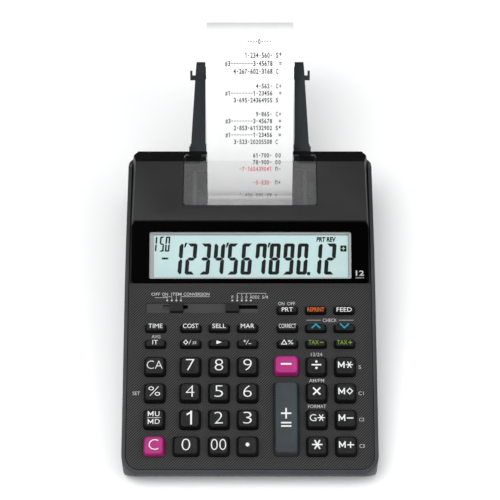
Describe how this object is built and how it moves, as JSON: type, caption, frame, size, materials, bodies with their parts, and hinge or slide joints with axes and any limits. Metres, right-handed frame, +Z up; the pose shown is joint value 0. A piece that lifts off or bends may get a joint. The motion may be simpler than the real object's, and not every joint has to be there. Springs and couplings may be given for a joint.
{
  "type": "desk printing calculator",
  "caption": "Desktop adding machine with a sloping key panel, tilted liquid-crystal display, roll-paper printer under a lift-off cover and a swinging roll holder.",
  "frame": {"origin": "centre of the overall footprint, on the desk", "axes": "+Z up, -Y towards the user, +X to the user's right"},
  "size_m": [0.165, 0.313, 0.139],
  "materials": {
    "lower_shell": "fine satin",
    "upper_shell": "fine diagonal ribs",
    "cover_shell": "fine satin",
    "smoked_window": "polished, see-through",
    "display_gloss": "polished",
    "lcd_glass": "frosted behind clear",
    "board_laminate": "lacquered",
    "mechanism": "satin",
    "roller_rubber": "matte",
    "ink_felt": "felt",
    "paper": "uncoated",
    "holder_plastic": "satin",
    "switch_black": "satin",
    "key_black": "satin",
    "key_pink": "satin",
    "key_slate": "satin"
  },
  "bodies": {
    "case": {"lower_case": "lower_shell", "upper_case": "upper_shell", "display_window": "display_gloss", "lcd_panel": "lcd_glass", "circuit_board": "board_laminate", "printer_frame": "mechanism", "paper_strip": "paper"},
    "roll_holder": {"roll_arm_left": "holder_plastic", "roll_arm_right": "holder_plastic"},
    "paper_roll": {"paper_roll": "paper"},
    "feed_roller": {"feed_roller": "roller_rubber"},
    "ink_roller": {"ink_roller": "ink_felt"},
    "printer_cover": {"printer_cover": "cover_shell", "cutter_window": "smoked_window"},
    "battery_door": {"battery_door": "lower_shell"},
    "slide_switch_left": {"slide_switch_left": "switch_black"},
    "slide_switch_right": {"slide_switch_right": "switch_black"},
    "key_plus_equals": {"key_plus_equals": "key_slate"},
    "key_minus": {"key_minus": "key_pink"},
    "key_clear": {"key_clear": "key_pink"},
    "key_0": {"key_0": "key_black"},
    "key_1": {"key_1": "key_black"},
    "key_2": {"key_2": "key_black"},
    "key_3": {"key_3": "key_black"},
    "key_4": {"key_4": "key_black"},
    "key_5": {"key_5": "key_black"},
    "key_6": {"key_6": "key_black"},
    "key_7": {"key_7": "key_black"},
    "key_8": {"key_8": "key_black"},
    "key_9": {"key_9": "key_black"},
    "key_double_zero": {"key_double_zero": "key_black"},
    "key_point": {"key_point": "key_black"},
    "key_clear_all": {"key_clear_all": "key_black"},
    "key_percent": {"key_percent": "key_black"},
    "key_divide": {"key_divide": "key_black"},
    "key_times": {"key_times": "key_black"},
    "key_total": {"key_total": "key_black"},
    "key_memory_plus": {"key_memory_plus": "key_black"},
    "key_memory_minus": {"key_memory_minus": "key_black"},
    "key_memory_subtotal": {"key_memory_subtotal": "key_black"},
    "key_memory_total": {"key_memory_total": "key_black"},
    "key_mark_up_down": {"key_mark_up_down": "key_black"},
    "key_grand_total": {"key_grand_total": "key_black"},
    "key_print": {"key_print": "key_black"},
    "key_reprint": {"key_reprint": "key_black"},
    "key_feed": {"key_feed": "key_black"},
    "key_time": {"key_time": "key_black"},
    "key_cost": {"key_cost": "key_black"},
    "key_sell": {"key_sell": "key_black"},
    "key_margin": {"key_margin": "key_black"},
    "key_correct": {"key_correct": "key_black"},
    "key_check_up": {"key_check_up": "key_black"},
    "key_check_down": {"key_check_down": "key_black"},
    "key_items": {"key_items": "key_black"},
    "key_non_add": {"key_non_add": "key_black"},
    "key_right_shift": {"key_right_shift": "key_black"},
    "key_sign": {"key_sign": "key_black"},
    "key_delta_percent": {"key_delta_percent": "key_black"},
    "key_tax_minus": {"key_tax_minus": "key_black"},
    "key_tax_plus": {"key_tax_plus": "key_black"}
  },
  "joints": [
    {"name": "roll_holder_swing", "type": "hinge", "parent": "case", "child": "roll_holder", "pos_m": [0, 0.0635, 0.045], "axis": [1, 0, 0], "range_deg": [-41, 0]},
    {"name": "paper_roll_spin", "type": "hinge", "parent": "roll_holder", "child": "paper_roll", "pos_m": [0, 0.11029, 0.08568], "axis": [1, 0, 0], "continuous": true},
    {"name": "printer_cover_lift", "type": "slide", "parent": "case", "child": "printer_cover", "axis": [0, 0, 1], "range_m": [0, 0.02]},
    {"name": "feed_roller_spin", "type": "hinge", "parent": "case", "child": "feed_roller", "pos_m": [0, 0.0475, 0.0354], "axis": [1, 0, 0], "continuous": true},
    {"name": "ink_roller_spin", "type": "hinge", "parent": "case", "child": "ink_roller", "pos_m": [0, 0.0235, 0.046], "axis": [1, 0, 0], "continuous": true},
    {"name": "battery_door_slide", "type": "slide", "parent": "case", "child": "battery_door", "axis": [0, -1, 0], "range_m": [0, 0.056]},
    {"name": "function_switch_slide", "type": "slide", "parent": "case", "child": "slide_switch_left", "axis": [1, 0, 0], "range_m": [-0.006, 0.003]},
    {"name": "decimal_switch_slide", "type": "slide", "parent": "case", "child": "slide_switch_right", "axis": [1, 0, 0], "range_m": [0, 0.0121]},
    {"name": "key_plus_equals_press", "type": "slide", "parent": "case", "child": "key_plus_equals", "axis": [0, 0.2181, -0.9759], "range_m": [0, 0.002], "stiffness_N_per_m": 220, "springref_m": -0.001},
    {"name": "key_minus_press", "type": "slide", "parent": "case", "child": "key_minus", "axis": [0, 0.2181, -0.9759], "range_m": [0, 0.002], "stiffness_N_per_m": 220, "springref_m": -0.001},
    {"name": "key_clear_press", "type": "slide", "parent": "case", "child": "key_clear", "axis": [0, 0.2181, -0.9759], "range_m": [0, 0.002], "stiffness_N_per_m": 220, "springref_m": -0.001},
    {"name": "key_0_press", "type": "slide", "parent": "case", "child": "key_0", "axis": [0, 0.2181, -0.9759], "range_m": [0, 0.002], "stiffness_N_per_m": 220, "springref_m": -0.001},
    {"name": "key_1_press", "type": "slide", "parent": "case", "child": "key_1", "axis": [0, 0.2181, -0.9759], "range_m": [0, 0.002], "stiffness_N_per_m": 220, "springref_m": -0.001},
    {"name": "key_2_press", "type": "slide", "parent": "case", "child": "key_2", "axis": [0, 0.2181, -0.9759], "range_m": [0, 0.002], "stiffness_N_per_m": 220, "springref_m": -0.001},
    {"name": "key_3_press", "type": "slide", "parent": "case", "child": "key_3", "axis": [0, 0.2181, -0.9759], "range_m": [0, 0.002], "stiffness_N_per_m": 220, "springref_m": -0.001},
    {"name": "key_4_press", "type": "slide", "parent": "case", "child": "key_4", "axis": [0, 0.2181, -0.9759], "range_m": [0, 0.002], "stiffness_N_per_m": 220, "springref_m": -0.001},
    {"name": "key_5_press", "type": "slide", "parent": "case", "child": "key_5", "axis": [0, 0.2181, -0.9759], "range_m": [0, 0.002], "stiffness_N_per_m": 220, "springref_m": -0.001},
    {"name": "key_6_press", "type": "slide", "parent": "case", "child": "key_6", "axis": [0, 0.2181, -0.9759], "range_m": [0, 0.002], "stiffness_N_per_m": 220, "springref_m": -0.001},
    {"name": "key_7_press", "type": "slide", "parent": "case", "child": "key_7", "axis": [0, 0.2181, -0.9759], "range_m": [0, 0.002], "stiffness_N_per_m": 220, "springref_m": -0.001},
    {"name": "key_8_press", "type": "slide", "parent": "case", "child": "key_8", "axis": [0, 0.2181, -0.9759], "range_m": [0, 0.002], "stiffness_N_per_m": 220, "springref_m": -0.001},
    {"name": "key_9_press", "type": "slide", "parent": "case", "child": "key_9", "axis": [0, 0.2181, -0.9759], "range_m": [0, 0.002], "stiffness_N_per_m": 220, "springref_m": -0.001},
    {"name": "key_double_zero_press", "type": "slide", "parent": "case", "child": "key_double_zero", "axis": [0, 0.2181, -0.9759], "range_m": [0, 0.002], "stiffness_N_per_m": 220, "springref_m": -0.001},
    {"name": "key_point_press", "type": "slide", "parent": "case", "child": "key_point", "axis": [0, 0.2181, -0.9759], "range_m": [0, 0.002], "stiffness_N_per_m": 220, "springref_m": -0.001},
    {"name": "key_clear_all_press", "type": "slide", "parent": "case", "child": "key_clear_all", "axis": [0, 0.2181, -0.9759], "range_m": [0, 0.002], "stiffness_N_per_m": 220, "springref_m": -0.001},
    {"name": "key_percent_press", "type": "slide", "parent": "case", "child": "key_percent", "axis": [0, 0.2181, -0.9759], "range_m": [0, 0.002], "stiffness_N_per_m": 220, "springref_m": -0.001},
    {"name": "key_divide_press", "type": "slide", "parent": "case", "child": "key_divide", "axis": [0, 0.2181, -0.9759], "range_m": [0, 0.002], "stiffness_N_per_m": 220, "springref_m": -0.001},
    {"name": "key_times_press", "type": "slide", "parent": "case", "child": "key_times", "axis": [0, 0.2181, -0.9759], "range_m": [0, 0.002], "stiffness_N_per_m": 220, "springref_m": -0.001},
    {"name": "key_total_press", "type": "slide", "parent": "case", "child": "key_total", "axis": [0, 0.2181, -0.9759], "range_m": [0, 0.002], "stiffness_N_per_m": 220, "springref_m": -0.001},
    {"name": "key_memory_plus_press", "type": "slide", "parent": "case", "child": "key_memory_plus", "axis": [0, 0.2181, -0.9759], "range_m": [0, 0.002], "stiffness_N_per_m": 220, "springref_m": -0.001},
    {"name": "key_memory_minus_press", "type": "slide", "parent": "case", "child": "key_memory_minus", "axis": [0, 0.2181, -0.9759], "range_m": [0, 0.002], "stiffness_N_per_m": 220, "springref_m": -0.001},
    {"name": "key_memory_subtotal_press", "type": "slide", "parent": "case", "child": "key_memory_subtotal", "axis": [0, 0.2181, -0.9759], "range_m": [0, 0.002], "stiffness_N_per_m": 220, "springref_m": -0.001},
    {"name": "key_memory_total_press", "type": "slide", "parent": "case", "child": "key_memory_total", "axis": [0, 0.2181, -0.9759], "range_m": [0, 0.002], "stiffness_N_per_m": 220, "springref_m": -0.001},
    {"name": "key_mark_up_down_press", "type": "slide", "parent": "case", "child": "key_mark_up_down", "axis": [0, 0.2181, -0.9759], "range_m": [0, 0.002], "stiffness_N_per_m": 220, "springref_m": -0.001},
    {"name": "key_grand_total_press", "type": "slide", "parent": "case", "child": "key_grand_total", "axis": [0, 0.2181, -0.9759], "range_m": [0, 0.002], "stiffness_N_per_m": 220, "springref_m": -0.001},
    {"name": "key_print_press", "type": "slide", "parent": "case", "child": "key_print", "axis": [0, 0.2181, -0.9759], "range_m": [0, 0.002], "stiffness_N_per_m": 220, "springref_m": -0.001},
    {"name": "key_reprint_press", "type": "slide", "parent": "case", "child": "key_reprint", "axis": [0, 0.2181, -0.9759], "range_m": [0, 0.002], "stiffness_N_per_m": 220, "springref_m": -0.001},
    {"name": "key_feed_press", "type": "slide", "parent": "case", "child": "key_feed", "axis": [0, 0.2181, -0.9759], "range_m": [0, 0.002], "stiffness_N_per_m": 220, "springref_m": -0.001},
    {"name": "key_time_press", "type": "slide", "parent": "case", "child": "key_time", "axis": [0, 0.2181, -0.9759], "range_m": [0, 0.002], "stiffness_N_per_m": 220, "springref_m": -0.001},
    {"name": "key_cost_press", "type": "slide", "parent": "case", "child": "key_cost", "axis": [0, 0.2181, -0.9759], "range_m": [0, 0.002], "stiffness_N_per_m": 220, "springref_m": -0.001},
    {"name": "key_sell_press", "type": "slide", "parent": "case", "child": "key_sell", "axis": [0, 0.2181, -0.9759], "range_m": [0, 0.002], "stiffness_N_per_m": 220, "springref_m": -0.001},
    {"name": "key_margin_press", "type": "slide", "parent": "case", "child": "key_margin", "axis": [0, 0.2181, -0.9759], "range_m": [0, 0.002], "stiffness_N_per_m": 220, "springref_m": -0.001},
    {"name": "key_correct_press", "type": "slide", "parent": "case", "child": "key_correct", "axis": [0, 0.2181, -0.9759], "range_m": [0, 0.002], "stiffness_N_per_m": 220, "springref_m": -0.001},
    {"name": "key_check_up_press", "type": "slide", "parent": "case", "child": "key_check_up", "axis": [0, 0.2181, -0.9759], "range_m": [0, 0.002], "stiffness_N_per_m": 220, "springref_m": -0.001},
    {"name": "key_check_down_press", "type": "slide", "parent": "case", "child": "key_check_down", "axis": [0, 0.2181, -0.9759], "range_m": [0, 0.002], "stiffness_N_per_m": 220, "springref_m": -0.001},
    {"name": "key_items_press", "type": "slide", "parent": "case", "child": "key_items", "axis": [0, 0.2181, -0.9759], "range_m": [0, 0.002], "stiffness_N_per_m": 220, "springref_m": -0.001},
    {"name": "key_non_add_press", "type": "slide", "parent": "case", "child": "key_non_add", "axis": [0, 0.2181, -0.9759], "range_m": [0, 0.002], "stiffness_N_per_m": 220, "springref_m": -0.001},
    {"name": "key_right_shift_press", "type": "slide", "parent": "case", "child": "key_right_shift", "axis": [0, 0.2181, -0.9759], "range_m": [0, 0.002], "stiffness_N_per_m": 220, "springref_m": -0.001},
    {"name": "key_sign_press", "type": "slide", "parent": "case", "child": "key_sign", "axis": [0, 0.2181, -0.9759], "range_m": [0, 0.002], "stiffness_N_per_m": 220, "springref_m": -0.001},
    {"name": "key_delta_percent_press", "type": "slide", "parent": "case", "child": "key_delta_percent", "axis": [0, 0.2181, -0.9759], "range_m": [0, 0.002], "stiffness_N_per_m": 220, "springref_m": -0.001},
    {"name": "key_tax_minus_press", "type": "slide", "parent": "case", "child": "key_tax_minus", "axis": [0, 0.2181, -0.9759], "range_m": [0, 0.002], "stiffness_N_per_m": 220, "springref_m": -0.001},
    {"name": "key_tax_plus_press", "type": "slide", "parent": "case", "child": "key_tax_plus", "axis": [0, 0.2181, -0.9759], "range_m": [0, 0.002], "stiffness_N_per_m": 220, "springref_m": -0.001}
  ]
}
